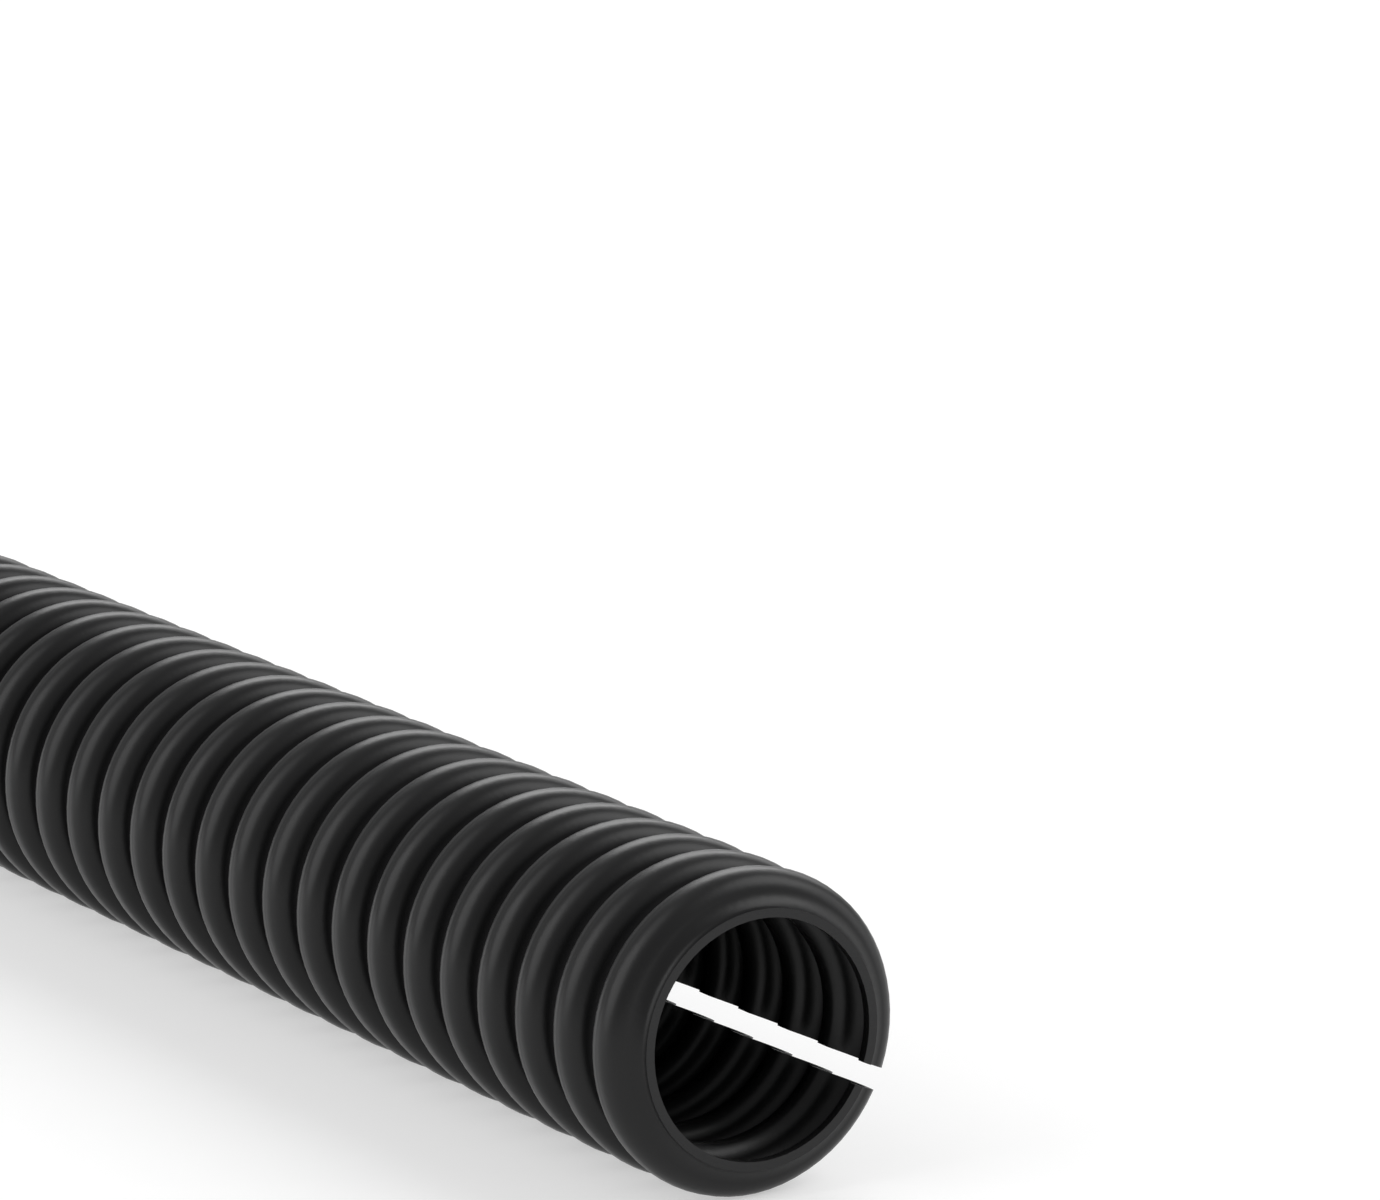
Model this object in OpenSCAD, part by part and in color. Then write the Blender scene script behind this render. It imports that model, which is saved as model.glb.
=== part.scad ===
// Corrugated conduit, slit along its length: one straight length of thin plastic tube, its ribs
// formed in the wall itself. Millimetres. It lies along X on the plane Z = 0, its middle over the origin.

/* [Tube] */
// Outside diameter, over the crests of the ribs
outer_d = 25; // [24:0.25:28]
// Clear bore, through the tops of the inner ridges
bore_d = 18.5; // [15.5:0.1:19.3]
// Wall thickness, the same all along the wave
wall = 0.7; // [0.4:0.05:0.95]
// Length the conduit is sold in; it is cut in the valley nearest to this
stock_length = 1000; // [50:10:1000]

/* [Ribs] */
// Distance from one crest to the next
rib_pitch = 5.75; // [5.2:0.05:8]
// Outside rounding of a crest
crest_r = 1.75; // [1.2:0.05:2]
// Narrow flat along the top of a crest
crest_flat = 0.3; // [0.1:0.05:0.9]
// Outside rounding at the foot of a rib
foot_r = 0.1; // [0:0.05:0.5]
// Slope of a rib's flanks, from the tube's axis
flank_angle = 78; // [65:1:84]

/* [Slit] */
// Open gap of the slit, measured halfway between the bore and the crests
slit_gap = 1.75; // [0.5:0.05:6]
// Direction that the slit faces, upwards from level
slit_direction = -24; // [-90:1:90]

/* [Hidden] */
outer_steps = [0, 2];   // straight pieces in a rounded foot and in half a crest, outside; 0 is a plain corner
inner_steps = [1, 1];   // and inside
outer_r = outer_d / 2;
valley_r = bore_d / 2 + wall;
slit_angle = 2 * asin(slit_gap / (outer_r + bore_d / 2));
rib_count = round(stock_length / rib_pitch);
conduit_length = rib_count * rib_pitch;

// Half a rib, from the middle of its crest: flat, rounding, straight flank, rounded foot, valley floor.
straight_height = outer_r - valley_r - (crest_r + foot_r) * (1 - cos(flank_angle));
straight_run = straight_height / tan(flank_angle);
half_rib = crest_flat / 2 + (crest_r + foot_r) * sin(flank_angle) + straight_run;
crest_centre = [(rib_pitch - crest_flat) / 2, outer_r - crest_r];
foot_centre = [rib_pitch / 2 - half_rib, valley_r + foot_r];

function on_arc(centre, radius, angle) = centre + radius * [sin(angle), cos(angle)];

// A rounding between two angles, as so many straight pieces. With none, its sides meet in a corner.
function rounding(centre, radius, from, to, pieces) = pieces == 0
    ? [on_arc(centre, radius / cos((to - from) / 2), (from + to) / 2)]
    : [for (i = [0 : pieces]) on_arc(centre, radius, from + (to - from) * i / pieces)];

// Rising side of one rib as [along, radius], on the line that lies depth inside the outer surface.
function rising_side(depth, steps) = concat(
    rounding(foot_centre, foot_r + depth, 180, 180 - flank_angle, steps[0]),
    rounding(crest_centre, crest_r - depth, -flank_angle, 0, steps[1])
);

function reversed(points) = [for (i = [len(points) - 1 : -1 : 0]) points[i]];

// One rib, from valley to valley. Its falling side is its rising side the other way round.
function rib(side) = concat(side, [for (p = reversed(side)) [rib_pitch - p.x, p.y]]);

// The whole wave from end to end. Both ends are cut square in the middle of a valley.
function wave(depth, steps) = let(one_rib = rib(rising_side(depth, steps))) concat(
    [[0, valley_r - depth]],
    [for (n = [0 : rib_count - 1]) for (p = one_rib) p + [n * rib_pitch, 0]],
    [[conduit_length, valley_r - depth]]
);

// Section of the wall, with the tube's axis upright.
module wall_section() {
    polygon([for (p = concat(wave(0, outer_steps), reversed(wave(wall, inner_steps)))) [p.y, p.x]]);
}

// The section goes around the axis from one side of the slit to the other.
module conduit() {
    color([0.045, 0.045, 0.047])
        translate([-conduit_length / 2, 0, outer_r])
            rotate([slit_direction + slit_angle / 2, 0, 0])
                rotate([90, 0, 90])
                    rotate_extrude(angle = 360 - slit_angle, $fn = 72)
                        wall_section();
}

conduit();
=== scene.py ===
"""Slit corrugated conduit: one straight metre of black ribbed plastic tube, lying on a pale floor."""
from math import cos, pi, radians, sin

import bpy
import numpy as np
from mathutils import Matrix, Vector


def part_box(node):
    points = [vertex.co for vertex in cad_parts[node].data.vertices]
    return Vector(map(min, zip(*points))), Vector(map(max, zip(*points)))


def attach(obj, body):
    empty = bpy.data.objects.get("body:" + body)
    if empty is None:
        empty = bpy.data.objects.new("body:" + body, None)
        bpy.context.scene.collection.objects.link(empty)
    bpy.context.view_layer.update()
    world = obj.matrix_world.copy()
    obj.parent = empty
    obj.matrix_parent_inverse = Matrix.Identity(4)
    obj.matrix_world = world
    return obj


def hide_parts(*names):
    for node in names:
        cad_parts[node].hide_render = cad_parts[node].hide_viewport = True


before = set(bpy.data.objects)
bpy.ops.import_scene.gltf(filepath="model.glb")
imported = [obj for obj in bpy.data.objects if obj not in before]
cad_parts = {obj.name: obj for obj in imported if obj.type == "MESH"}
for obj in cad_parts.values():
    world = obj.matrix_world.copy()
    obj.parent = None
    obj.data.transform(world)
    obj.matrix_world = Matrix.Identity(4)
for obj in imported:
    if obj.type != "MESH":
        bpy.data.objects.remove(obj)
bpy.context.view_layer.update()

MM = 0.001

# ---------------------------------------------------------------- sizes of the conduit, in metres

box_low, box_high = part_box("conduit")
LENGTH = box_high.x - box_low.x
OUTER_R = (box_high.y - box_low.y) / 2
AXIS_HEIGHT = (box_high.z + box_low.z) / 2
BORE_R = 9.25 * MM
WALL = 0.7 * MM
RIB_PITCH = 5.75 * MM
CREST_R = 1.75 * MM
CREST_FLAT = 0.3 * MM
FOOT_R = 0.1 * MM
FLANK_ANGLE = radians(78)
SLIT_GAP = 1.75 * MM
SLIT_DIRECTION = radians(-24)   # about the axis, upwards from the +Y side
RUBBED_BAND = 0.6 * MM          # how far down from its top a crest is rubbed

RIBS = round(LENGTH / RIB_PITCH)
FINE_RIBS = 28          # ribs at the open end, which are made with more steps
STEPS_AROUND = 33       # straight steps of a coarse rib around the axis; a fine one has twice as many
COARSE_CREST = 1, 0     # straight steps up each side of a crest, outside and inside the wall
FINE_CREST = 4, 4
TINY = 0.005 * MM       # points this close are one point
STEP_SLACK = 0.01       # added before a count of steps is rounded down, so that a whole one isn't lost
SQUARE_ON = 0.9999      # a face whose normal has this much along the axis is square to it


# ---------------------------------------------------------------- helpers

def add_object(name, data):
    """A new object in the scene."""
    made = bpy.data.objects.new(name, data)
    bpy.context.scene.collection.objects.link(made)
    return made


def operation(name):
    """A method of Value that adds a Math node, fed with the value itself and then the others."""
    def method(self, *others):
        node = add_node(self.tree, "ShaderNodeMath", enumerate((self, *others)), operation=name)
        return Value(self.tree, node.outputs[0])
    return method


class Value:
    """A value that varies over a Geometry Nodes tree. Its operators add nodes to that tree."""

    def __init__(self, tree, socket):
        self.tree, self.socket = tree, socket

    __add__, __sub__ = operation("ADD"), operation("SUBTRACT")
    __mul__, __truediv__ = operation("MULTIPLY"), operation("DIVIDE")
    __lt__, __gt__ = operation("LESS_THAN"), operation("GREATER_THAN")
    __abs__, floor, at_least = operation("ABSOLUTE"), operation("FLOOR"), operation("MAXIMUM")
    sin, cos, arcsin = operation("SINE"), operation("COSINE"), operation("ARCSINE")


def join(tree, value, plug):
    """Puts a constant or another node's result into an input."""
    if isinstance(value, Value):
        value = value.socket
    if isinstance(value, bpy.types.NodeSocket):
        tree.links.new(value, plug)
    else:
        plug.default_value = value


def add_node(tree, kind, inputs=(), **settings):
    """A new node with its settings, and inputs given as (name or index, value) pairs."""
    node = tree.nodes.new(kind)
    for name, value in settings.items():
        setattr(node, name, value)
    for name, value in inputs:
        join(tree, value, node.inputs[name])
    return node


def change(tree, kind, geometry, inputs=(), **settings):
    """The geometry that a node makes of another's."""
    return add_node(tree, kind, [(0, geometry), *inputs], **settings).outputs[0]


def pick(tree, condition, if_true, if_false):
    """One number or the other."""
    node = add_node(tree, "GeometryNodeSwitch", [
        ("Switch", condition), ("False", if_false), ("True", if_true),
    ], input_type="FLOAT")
    return Value(tree, node.outputs[0])


def vector(tree, x, y, z):
    """Three numbers as one vector."""
    return add_node(tree, "ShaderNodeCombineXYZ", [("X", x), ("Y", y), ("Z", z)]).outputs[0]


def along_and_out(tree, place):
    """The X and Z of a place in the section: how far along the tube, and how far out from its axis."""
    split = add_node(tree, "ShaderNodeSeparateXYZ", [(0, place)])
    return Value(tree, split.outputs["X"]), Value(tree, split.outputs["Z"])


def position_now(tree):
    """Where each point is at that moment."""
    return add_node(tree, "GeometryNodeInputPosition").outputs[0]


def index_of_point(tree):
    """The number of each point in its row, from 0."""
    return Value(tree, add_node(tree, "GeometryNodeInputIndex").outputs[0])


def store(tree, geometry, name, value, kind="FLOAT_VECTOR"):
    """The geometry with a value kept on each of its points."""
    return change(tree, "GeometryNodeStoreNamedAttribute", geometry, [
        ("Name", name), ("Value", value),
    ], data_type=kind, domain="POINT")


def stored(tree, name, kind="FLOAT_VECTOR"):
    """A value that was kept on the points."""
    node = add_node(tree, "GeometryNodeInputNamedAttribute", [("Name", name)], data_type=kind)
    return node.outputs["Attribute"]


def add_inputs(tree, inputs):
    """Gives a node group its inputs, from a list of (name, socket kind, default or None)."""
    for name, kind, default in inputs:
        socket = tree.interface.new_socket(name, in_out="INPUT", socket_type=kind)
        if default is not None:
            socket.default_value = default


def new_geometry_tree(name, inputs):
    """An empty Geometry Nodes group, its inputs by name, and the plug for the geometry that it gives."""
    tree = bpy.data.node_groups.new(name, "GeometryNodeTree")
    add_inputs(tree, inputs)
    tree.interface.new_socket("Geometry", in_out="OUTPUT", socket_type="NodeSocketGeometry")
    plugs = tree.nodes.new("NodeGroupInput").outputs
    values = {plug.name: Value(tree, plug) for plug in plugs if plug.name}
    return tree, values, tree.nodes.new("NodeGroupOutput").inputs["Geometry"]


# ---------------------------------------------------------------- the formed wall

NUMBER, COUNT, MATERIAL = "NodeSocketFloat", "NodeSocketInt", "NodeSocketMaterial"
RIB_SIZES = [
    ("Outer Radius", NUMBER, OUTER_R),
    ("Bore Radius", NUMBER, BORE_R),
    ("Wall", NUMBER, WALL),
    ("Rib Pitch", NUMBER, RIB_PITCH),
    ("Crest Radius", NUMBER, CREST_R),
    ("Crest Flat", NUMBER, CREST_FLAT),
    ("Foot Radius", NUMBER, FOOT_R),
    ("Flank Angle", NUMBER, FLANK_ANGLE),
]


def build_rib_outline():
    """One rib as a row of points, X along the tube and Z out from its axis, with the wall's normal at each.

    The points run from one foot up to the top of the crest, and down to the other foot in the same way. A
    foot is one point: the corner where the valley's floor and the flank would meet if it had no rounding.
    Inside is 0 for the outside of the wall, and 1 for its inside, which is the same wave moved in by the
    wall's thickness.
    """
    tree, size, out = new_geometry_tree("Rib Outline", RIB_SIZES + [
        ("Inside", NUMBER, 0.0),
        ("Crest Steps", COUNT, FINE_CREST[0]),
    ])
    pitch, flank, crest_steps = size["Rib Pitch"], size["Flank Angle"], size["Crest Steps"]
    foot_r, crest_r = size["Foot Radius"], size["Crest Radius"]
    valley_r = size["Bore Radius"] + size["Wall"]

    # How far along the tube half a rib reaches, which places its foot.
    roundings = foot_r + crest_r
    straight_rise = size["Outer Radius"] - valley_r - roundings * (flank.cos() * -1 + 1)
    straight_run = straight_rise / (flank.sin() / flank.cos())
    half_rib = size["Crest Flat"] / 2 + roundings * flank.sin() + straight_run

    half_count = crest_steps + 2
    index = index_of_point(tree)
    falling = index > half_count - 0.5
    step = pick(tree, falling, half_count * 2 - index - 1, index)
    on_foot = step < 0.5
    # A crest of no steps has one point on each side, at the middle of the rounding there.
    crest_share = (step - 1 + (crest_steps < 0.5) * 0.5) / crest_steps.at_least(1)
    turn = pick(tree, on_foot, flank / -2 + pi, flank * (crest_share - 1))
    radius = pick(tree, on_foot, foot_r / (flank / 2).cos(), crest_r)
    centre_along = pick(tree, on_foot, pitch / 2 - half_rib, (pitch - size["Crest Flat"]) / 2)
    centre_out = pick(tree, on_foot, valley_r + foot_r, size["Outer Radius"] - crest_r)
    centre_out = centre_out - size["Wall"] * size["Inside"]
    along = centre_along + radius * turn.sin()
    along = pick(tree, falling, pitch - along, along)
    facing = pick(tree, on_foot, -1.0, 1.0) * (size["Inside"] * -2 + 1)
    normal_along = facing * turn.sin() * pick(tree, falling, -1.0, 1.0)

    points = add_node(tree, "GeometryNodePoints", [
        ("Count", half_count * 2),
        ("Position", vector(tree, along, 0.0, centre_out + radius * turn.cos())),
    ])
    normal = vector(tree, normal_along, 0.0, facing * turn.cos())
    join(tree, store(tree, points.outputs[0], "wall_normal", normal), out)
    return tree


def build_section(tree, size, rib_outline, first_rib, rib_count, crest_steps):
    """The section of some ribs in a row, as one closed line that keeps its places and the wall's normals.

    crest_steps is a pair: the steps on the outside of the wall, and those on its inside.
    """
    pitch = size["Rib Pitch"]
    valley_r = size["Bore Radius"] + size["Wall"]
    start, end = pitch * first_rib, pitch * (rib_count + first_rib)

    outline = add_node(tree, "GeometryNodeJoinGeometry")
    for inside, steps in zip((0.0, 1.0), crest_steps):
        rib_inputs = [(name, size[name]) for name, _, _ in RIB_SIZES]
        rib_inputs += [("Inside", inside), ("Crest Steps", steps)]
        rib = add_node(tree, "GeometryNodeGroup", rib_inputs, node_tree=rib_outline)
        places = add_node(tree, "GeometryNodeMeshLine", [
            ("Count", rib_count), ("Start Location", vector(tree, start, 0.0, 0.0)),
            ("Offset", vector(tree, pitch, 0.0, 0.0)),
        ], mode="OFFSET")
        row = change(tree, "GeometryNodeInstanceOnPoints", places.outputs[0], [
            ("Instance", rib.outputs[0]),
        ])
        join(tree, row, outline.inputs[0])

        # The corners at the two square ends, in the middle of a valley.
        for along in (start, end):
            corner = add_node(tree, "GeometryNodePoints", [
                ("Count", 1), ("Position", vector(tree, along, 0.0, valley_r - size["Wall"] * inside)),
            ])
            normal = vector(tree, 0.0, 0.0, 1 - 2 * inside)
            join(tree, store(tree, corner.outputs[0], "wall_normal", normal), outline.inputs[0])
    points = change(tree, "GeometryNodeRealizeInstances", outline.outputs[0])

    # The line runs along the outside of the wall, whose normals point out, and back along the inside.
    place_along, place_out = along_and_out(tree, position_now(tree))
    _, normal_out = along_and_out(tree, stored(tree, "wall_normal"))
    order = pick(tree, normal_out < 0, end * 2 + TINY - place_along, place_along)
    section = change(tree, "GeometryNodePointsToCurves", points, [("Weight", order)])
    section = change(tree, "GeometryNodeSetSplineCyclic", section, [("Cyclic", True)])
    return store(tree, section, "section_place", vector(tree, place_along, 0.0, place_out))


def sweep_around(tree, size, section, steps_around):
    """A section swept around the axis as a closed solid.

    It starts at the slit's upper side, and goes over the top and round to the slit's lower side.
    """
    way = add_node(tree, "GeometryNodeCurveArc", [("Resolution", steps_around + 1)], mode="RADIUS")
    way = store(tree, way.outputs[0], "share_around", index_of_point(tree) / steps_around, "FLOAT")
    wall = change(tree, "GeometryNodeCurveToMesh", way, [("Profile Curve", section), ("Fill Caps", True)])

    # Each point is put at its distance from the axis and its turn about it. Where the stretches meet, both
    # have the coarse steps.
    place_along, place_out = along_and_out(tree, stored(tree, "section_place"))
    normal_along, normal_out = along_and_out(tree, stored(tree, "wall_normal"))
    share, coarse_steps = Value(tree, stored(tree, "share_around", "FLOAT")), size["Steps Around"]
    coarse_share = (share * coarse_steps + STEP_SLACK).floor() / coarse_steps
    stretches_meet = abs(place_along - size["Meeting Place"]) < TINY
    share = pick(tree, stretches_meet, coarse_share, share)
    # The slit's sides are parallel, so a point near the axis starts and ends farther round.
    half_slit = (size["Slit Gap"] / 2 / place_out).arcsin()
    turn = size["Slit Direction"] + half_slit + (half_slit * -2 + 2 * pi) * share
    wall = change(tree, "GeometryNodeSetPosition", wall, [
        ("Position", vector(tree, place_along, place_out * turn.cos(), place_out * turn.sin())),
    ])
    normal = vector(tree, normal_along, normal_out * turn.cos(), normal_out * turn.sin())
    return store(tree, wall, "wall_normal", normal)


def build_tube_tree(rib_outline):
    """The whole wall: a stretch of coarse ribs and one of fine ribs, joined into one closed solid."""
    tree, size, out = new_geometry_tree("Slit Corrugated Tube", RIB_SIZES + [
        ("Axis Height", NUMBER, AXIS_HEIGHT),
        ("Ribs", COUNT, RIBS),
        ("Fine Ribs", COUNT, FINE_RIBS),
        ("Slit Gap", NUMBER, SLIT_GAP),
        ("Slit Direction", NUMBER, SLIT_DIRECTION),
        ("Steps Around", COUNT, STEPS_AROUND),
        ("Wall Material", MATERIAL, None),
    ])
    coarse_ribs = size["Ribs"] - size["Fine Ribs"]
    size["Meeting Place"] = size["Rib Pitch"] * coarse_ribs

    stretches = add_node(tree, "GeometryNodeJoinGeometry")
    for first_rib, rib_count, crest_steps, steps_around in (
        (0, coarse_ribs, COARSE_CREST, size["Steps Around"]),
        (coarse_ribs, size["Fine Ribs"], FINE_CREST, size["Steps Around"] * 2),
    ):
        section = build_section(tree, size, rib_outline, first_rib, rib_count, crest_steps)
        join(tree, sweep_around(tree, size, section, steps_around), stretches.inputs[0])

    # The two end faces where the stretches meet go, and their edges become one.
    face_along, _ = along_and_out(tree, position_now(tree))
    between = abs(face_along - size["Meeting Place"]) < TINY
    wall = change(tree, "GeometryNodeDeleteGeometry", stretches.outputs[0], [
        ("Selection", between),
    ], domain="FACE")
    wall = change(tree, "GeometryNodeMergeByDistance", wall, [("Distance", TINY)])
    for helper in ("share_around", "section_place"):
        wall = change(tree, "GeometryNodeRemoveAttribute", wall, [("Name", helper)])
    wall = change(tree, "GeometryNodeFlipFaces", wall)
    wall = change(tree, "GeometryNodeSetShadeSmooth", wall, [("Shade Smooth", True)])
    wall = change(tree, "GeometryNodeTransform", wall, [
        ("Translation", vector(tree, size["Rib Pitch"] * size["Ribs"] / -2, 0.0, size["Axis Height"])),
    ])
    wall = change(tree, "GeometryNodeRealizeInstances", wall)
    wall = change(tree, "GeometryNodeSetMaterial", wall, [("Material", size["Wall Material"])])
    join(tree, wall, out)
    return tree


def form_wall(formed_wall):
    """The whole wall as a plain mesh."""
    tree = build_tube_tree(build_rib_outline())
    maker = add_object("conduit_maker", bpy.data.meshes.new("conduit_maker"))
    ribs = maker.modifiers.new("Slit Corrugated Tube", "NODES")
    ribs.node_group = tree
    ribs[tree.interface.items_tree["Wall Material"].identifier] = formed_wall
    evaluated = maker.evaluated_get(bpy.context.evaluated_depsgraph_get())
    mesh = bpy.data.meshes.new_from_object(evaluated)
    maker.modifiers.remove(ribs)
    bpy.data.objects.remove(maker)
    mesh.name = "conduit_wall"
    return mesh


def make_conduit(formed_wall, cut_face):
    """The conduit as one closed mesh. Its square ends and the slit's sides are cut faces."""
    mesh = form_wall(formed_wall)
    mesh.materials.clear()
    for finish in (formed_wall, cut_face):
        mesh.materials.append(finish)

    # A cut face is flat: the ones square to the axis, and the long ones beside the slit, which are the only
    # faces with more than four corners.
    facing = np.empty(len(mesh.polygons) * 3)
    mesh.polygons.foreach_get("normal", facing)
    facing = facing.reshape(-1, 3)
    corners = np.empty(len(mesh.polygons), int)
    mesh.polygons.foreach_get("loop_total", corners)
    cut = (np.abs(facing[:, 0]) > SQUARE_ON) | (corners > 4)
    mesh.polygons.foreach_set("material_index", cut.astype(int))
    mesh.polygons.foreach_set("use_smooth", ~cut)

    # The formed faces are shaded with the true normals of the roundings and flanks.
    normals = np.empty(len(mesh.vertices) * 3)
    mesh.attributes["wall_normal"].data.foreach_get("vector", normals)
    vertex_of_corner = np.empty(len(mesh.loops), int)
    mesh.loops.foreach_get("vertex_index", vertex_of_corner)
    corner_normals = normals.reshape(-1, 3)[vertex_of_corner]
    cut_of_corner = np.repeat(cut, corners)
    corner_normals[cut_of_corner] = np.repeat(facing, corners, axis=0)[cut_of_corner]
    mesh.normals_split_custom_set(corner_normals.tolist())
    mesh.attributes.remove(mesh.attributes["wall_normal"])
    return add_object("slit_conduit", mesh)


# ---------------------------------------------------------------- finishes

MIX_FIRST, MIX_SECOND, MIXED = 6, 7, 2      # where a Mix node has its colours, going in and coming out


def new_material(name):
    """An empty material and its tree."""
    material = bpy.data.materials.new(name)
    material.use_nodes = True
    material.node_tree.nodes.clear()
    return material, material.node_tree


def object_place(tree):
    """The place of each point on the finished object."""
    return add_node(tree, "ShaderNodeTexCoord").outputs["Object"]


def blend(tree, share, first, second):
    """A colour between two others."""
    return add_node(tree, "ShaderNodeMix", [
        ("Factor", share), (MIX_FIRST, first), (MIX_SECOND, second),
    ], data_type="RGBA").outputs[MIXED]


def set_surface(tree, surface):
    """Makes a shader the material's surface."""
    join(tree, surface, add_node(tree, "ShaderNodeOutputMaterial").inputs["Surface"])


def build_plastic_grain():
    """A group for moulded plastic: a slow mottle and a fine grain, each from 0 to 1."""
    tree = bpy.data.node_groups.new("Plastic Grain", "ShaderNodeTree")
    add_inputs(tree, [
        ("Position", "NodeSocketVector", None),
        ("Mottle Scale", NUMBER, 60.0),
        ("Grain Scale", NUMBER, 2500.0),
    ])
    for name in ("Mottle", "Grain"):
        tree.interface.new_socket(name, in_out="OUTPUT", socket_type=NUMBER)
    plug = tree.nodes.new("NodeGroupInput").outputs
    out = tree.nodes.new("NodeGroupOutput").inputs
    for name, detail in (("Mottle", 3.0), ("Grain", 1.0)):
        noise = add_node(tree, "ShaderNodeTexNoise", [
            ("Vector", plug["Position"]), ("Scale", plug[name + " Scale"]),
            ("Detail", detail), ("Roughness", 0.55),
        ])
        spread = add_node(tree, "ShaderNodeMapRange", [
            ("Value", noise.outputs[0]), ("From Min", 0.3), ("From Max", 0.7),
        ])
        join(tree, spread.outputs[0], out[name])
    return tree


def make_plastic(name, grain_group, dark, light, mottle_scale, grain_scale, roughness, bump_depth, specular,
                 stretch=(1, 1, 1)):
    """Black plastic with a mottled tone and a fine grain. roughness is (smoothest, roughest).

    Returns the material, its tree and its shader, and the tone and the roughness that go into that.
    """
    material, tree = new_material(name)
    place = add_node(tree, "ShaderNodeMapping", [("Vector", object_place(tree)), ("Scale", stretch)])
    grain = add_node(tree, "ShaderNodeGroup", [
        ("Position", place.outputs[0]), ("Mottle Scale", mottle_scale), ("Grain Scale", grain_scale),
    ], node_tree=grain_group)
    tone = blend(tree, grain.outputs["Mottle"], dark, light)
    gloss = add_node(tree, "ShaderNodeMapRange", [
        ("Value", grain.outputs["Mottle"]), ("To Min", roughness[0]), ("To Max", roughness[1]),
    ]).outputs[0]
    relief = add_node(tree, "ShaderNodeBump", [
        ("Height", grain.outputs["Grain"]), ("Distance", bump_depth), ("Strength", 1.0),
    ])
    shader = add_node(tree, "ShaderNodeBsdfPrincipled", [
        ("Base Color", tone), ("Roughness", gloss), ("Normal", relief.outputs[0]),
        ("Specular IOR Level", specular),
    ])
    set_surface(tree, shader.outputs[0])
    return material, tree, shader, tone, gloss


def make_formed_wall(grain_group):
    """The ribbed skin: satin black, a little paler and smoother along the crests, where conduit rubs."""
    rubbed_tone, rubbed_polish = (0.015, 0.015, 0.0154, 1), 0.03
    material, tree, shader, tone, gloss = make_plastic(
        "formed_wall", grain_group, dark=(0.009, 0.009, 0.0093, 1), light=(0.013, 0.013, 0.0134, 1),
        mottle_scale=45, grain_scale=2200, roughness=(0.33, 0.39), bump_depth=0.003 * MM, specular=0.28)
    across = add_node(tree, "ShaderNodeMapping", [
        ("Vector", object_place(tree)), ("Location", (0, 0, -AXIS_HEIGHT)), ("Scale", (0, 1, 1)),
    ])
    from_axis = add_node(tree, "ShaderNodeVectorMath", [(0, across.outputs[0])], operation="LENGTH")
    crest = add_node(tree, "ShaderNodeMapRange", [
        ("Value", from_axis.outputs["Value"]), ("From Min", OUTER_R - RUBBED_BAND), ("From Max", OUTER_R),
    ], interpolation_type="SMOOTHSTEP").outputs[0]
    join(tree, blend(tree, crest, tone, rubbed_tone), shader.inputs["Base Color"])
    polished = add_node(tree, "ShaderNodeMath", [
        (0, crest), (1, -rubbed_polish), (2, gloss),
    ], operation="MULTIPLY_ADD")
    join(tree, polished.outputs[0], shader.inputs["Roughness"])
    return material


def make_cut_face(grain_group):
    """Where the wall was cut: more matt, with fine lines left by the knife."""
    material, *_ = make_plastic(
        "cut_face", grain_group, dark=(0.014, 0.014, 0.0144, 1), light=(0.019, 0.019, 0.0195, 1),
        mottle_scale=120, grain_scale=1.0, roughness=(0.5, 0.6), bump_depth=0.01 * MM, specular=0.35,
        stretch=(300, 300, 7000))
    return material


# ---------------------------------------------------------------- studio

FLOOR_REACH = 30.0      # from the middle to each side
LAMP_DISTANCE = 2.0
FLOOR_GLOW = 0.48
ROOM_LIGHT = 0.36       # strength of the even light from all around

# Soft lamps: (name, azimuth, elevation, strength, width as an angle), with the angles in degrees. Azimuth
# is where the lamp stands, counted as the camera's: 0 is on the -Y side and 90 on the +X side.
LAMPS = [
    ("front_lamp", 345, 24, 1.0, 50),
    ("high_front_lamp", 352, 56, 0.35, 36),
    ("back_lamp", 213, 28, 0.33, 30),
    ("side_lamp", 239, 28, 0.37, 30),
    ("high_side_lamp", 239, 42, 0.36, 30),
    ("low_end_lamp", 160, 16, 0.5, 40),
    ("high_end_lamp", 145, 45, 1.16, 40),
]

# Where the camera looks from, in degrees. The centre of the open end lies right of the middle of its view,
# below it and ahead, in outside radii. Lens and film are in millimetres, and the depth of view in metres.
CAMERA_AZIMUTH, CAMERA_ELEVATION = 59.16, 12.065
END_RIGHT, END_DOWN, END_AHEAD = 0.42878, 2.59261, 46.34
LENS_LENGTH, FILM_WIDTH = 205.24, 36.0
NEAREST_SEEN, FARTHEST_SEEN = 0.05, 50


def toward(azimuth, elevation):
    """The direction to a place at that azimuth and elevation, in degrees."""
    a, e = radians(azimuth), radians(elevation)
    return Vector((sin(a) * cos(e), -cos(a) * cos(e), sin(e)))


def add_lamps():
    """The soft lamps. Each shines as the sun does, so its distance doesn't matter."""
    for name, azimuth, elevation, strength, width in LAMPS:
        lamp = bpy.data.lights.new(name, "SUN")
        lamp.energy, lamp.angle = strength, radians(width)
        direction = toward(azimuth, elevation)
        stand = add_object(name, lamp)
        stand.location = direction * LAMP_DISTANCE
        stand.rotation_euler = direction.to_track_quat("Z", "Y").to_euler()


def add_even_light():
    """White light from all around."""
    world = bpy.data.worlds.new("even_light")
    bpy.context.scene.world = world
    world.use_nodes = True
    tree = world.node_tree
    tree.nodes.clear()
    light = add_node(tree, "ShaderNodeBackground", [("Color", (1, 1, 1, 1)), ("Strength", ROOM_LIGHT)])
    join(tree, light.outputs[0], add_node(tree, "ShaderNodeOutputWorld").inputs["Surface"])


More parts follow.
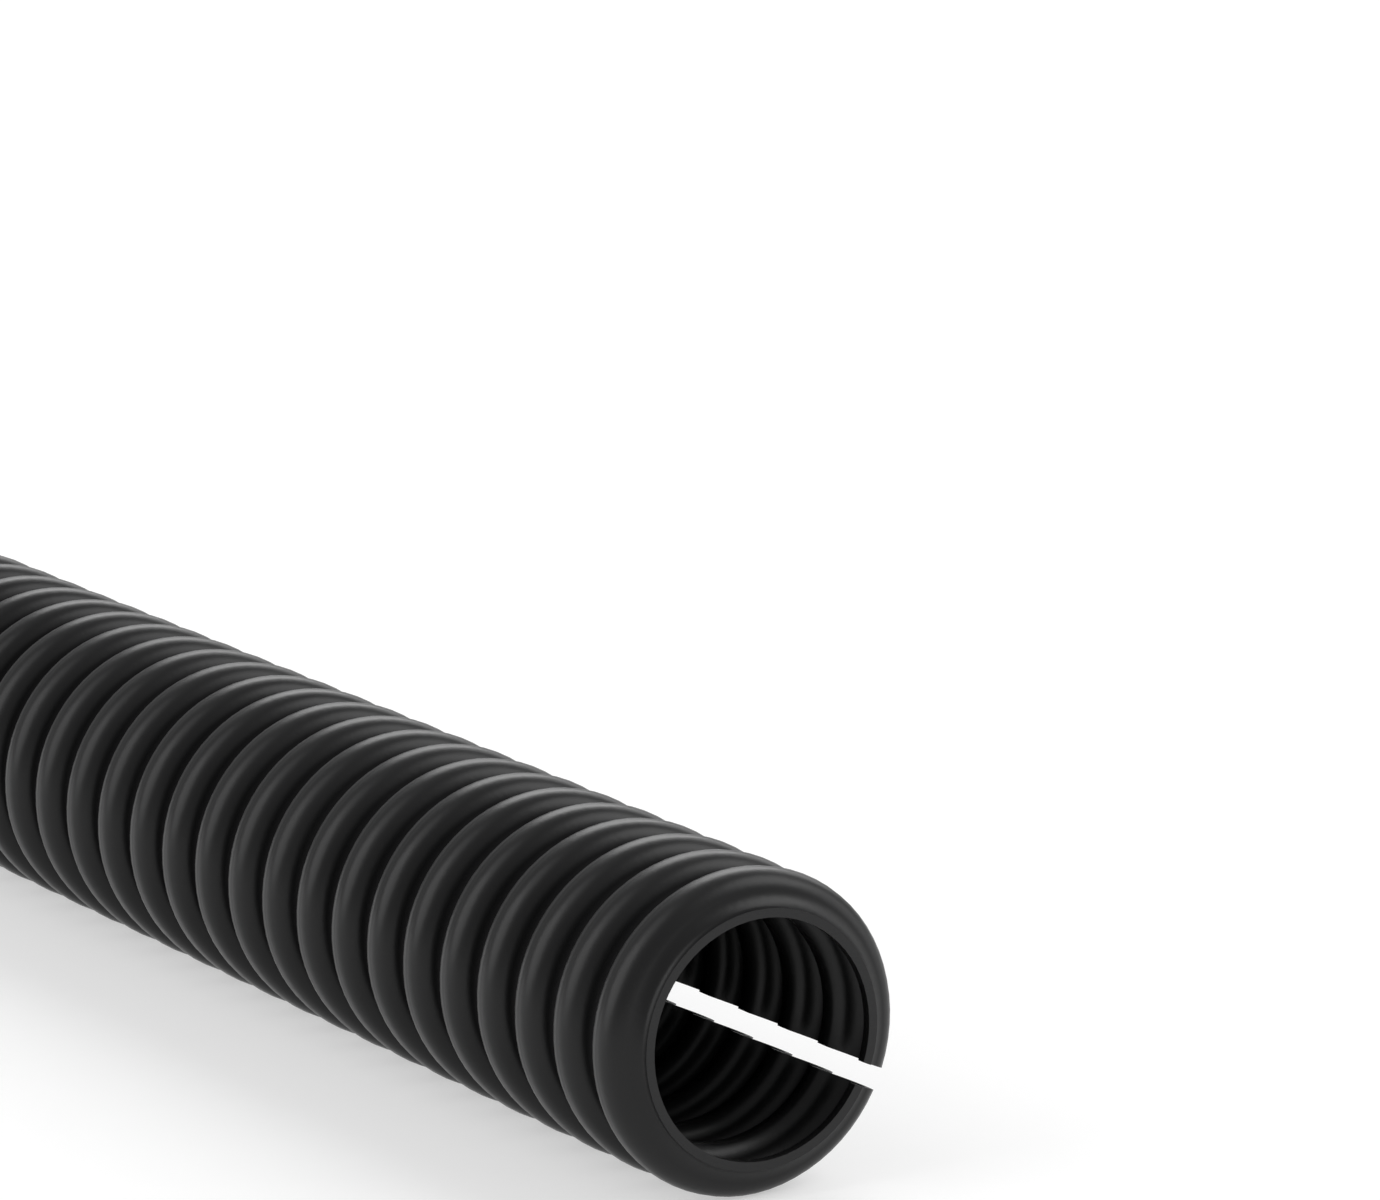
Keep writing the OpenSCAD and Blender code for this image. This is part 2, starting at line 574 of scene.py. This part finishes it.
def seen_directly(tree):
    """1 for the rays that show a background: straight to the camera, mirrored or through glass."""
    rays = add_node(tree, "ShaderNodeLightPath").outputs
    seen = rays["Is Camera Ray"]
    for kind in ("Is Glossy Ray", "Is Transmission Ray"):
        either = add_node(tree, "ShaderNodeMath", [(0, seen), (1, rays[kind])], operation="MAXIMUM")
        seen = either.outputs[0]
    return seen


def make_pale_paper():
    """The floor's grey paper, which a glow lifts to white where it is seen. It keeps a soft shadow."""
    material, tree = new_material("pale_paper")
    fibre = add_node(tree, "ShaderNodeTexNoise", [("Vector", object_place(tree)), ("Scale", 300.0)])
    tone = blend(tree, fibre.outputs[0], (0.54, 0.54, 0.54, 1), (0.56, 0.56, 0.56, 1))
    paper = add_node(tree, "ShaderNodeBsdfDiffuse", [("Color", tone)])
    glow = add_node(tree, "ShaderNodeEmission", [("Color", (1, 1, 1, 1)), ("Strength", FLOOR_GLOW)])
    lifted = add_node(tree, "ShaderNodeAddShader", [(0, paper.outputs[0]), (1, glow.outputs[0])])
    surface = add_node(tree, "ShaderNodeMixShader", [
        (0, seen_directly(tree)), (1, paper.outputs[0]), (2, lifted.outputs[0]),
    ])
    set_surface(tree, surface.outputs[0])
    return material


def make_floor():
    """A flat square under the conduit."""
    mesh = bpy.data.meshes.new("floor")
    corners = [(x * FLOOR_REACH, y * FLOOR_REACH, 0) for x, y in ((-1, -1), (1, -1), (1, 1), (-1, 1))]
    mesh.from_pydata(corners, [], [(0, 1, 2, 3)])
    mesh.materials.append(make_pale_paper())
    return add_object("floor", mesh)


def add_camera():
    """A camera with a long lens, which looks past the open end and along the tube."""
    data = bpy.data.cameras.new("camera")
    data.lens, data.sensor_width = LENS_LENGTH, FILM_WIDTH
    data.clip_start, data.clip_end = NEAREST_SEEN, FARTHEST_SEEN
    back = toward(CAMERA_AZIMUTH, CAMERA_ELEVATION)
    right = Vector((cos(radians(CAMERA_AZIMUTH)), sin(radians(CAMERA_AZIMUTH)), 0))
    up = back.cross(right)
    end_centre = Vector((box_high.x, 0, AXIS_HEIGHT))
    place = end_centre + OUTER_R * (back * END_AHEAD - right * END_RIGHT + up * END_DOWN)
    camera = add_object("camera", data)
    camera.matrix_world = Matrix.Translation(place) @ Matrix((right, up, back)).transposed().to_4x4()
    bpy.context.scene.camera = camera


# ---------------------------------------------------------------- the scene

grain_group = build_plastic_grain()
conduit = make_conduit(make_formed_wall(grain_group), make_cut_face(grain_group))
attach(conduit, "root")
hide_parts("conduit")

add_lamps()
add_even_light()
floor = make_floor()
add_camera()
bpy.context.scene.view_settings.view_transform = "Standard"

bpy.context.view_layer.update()
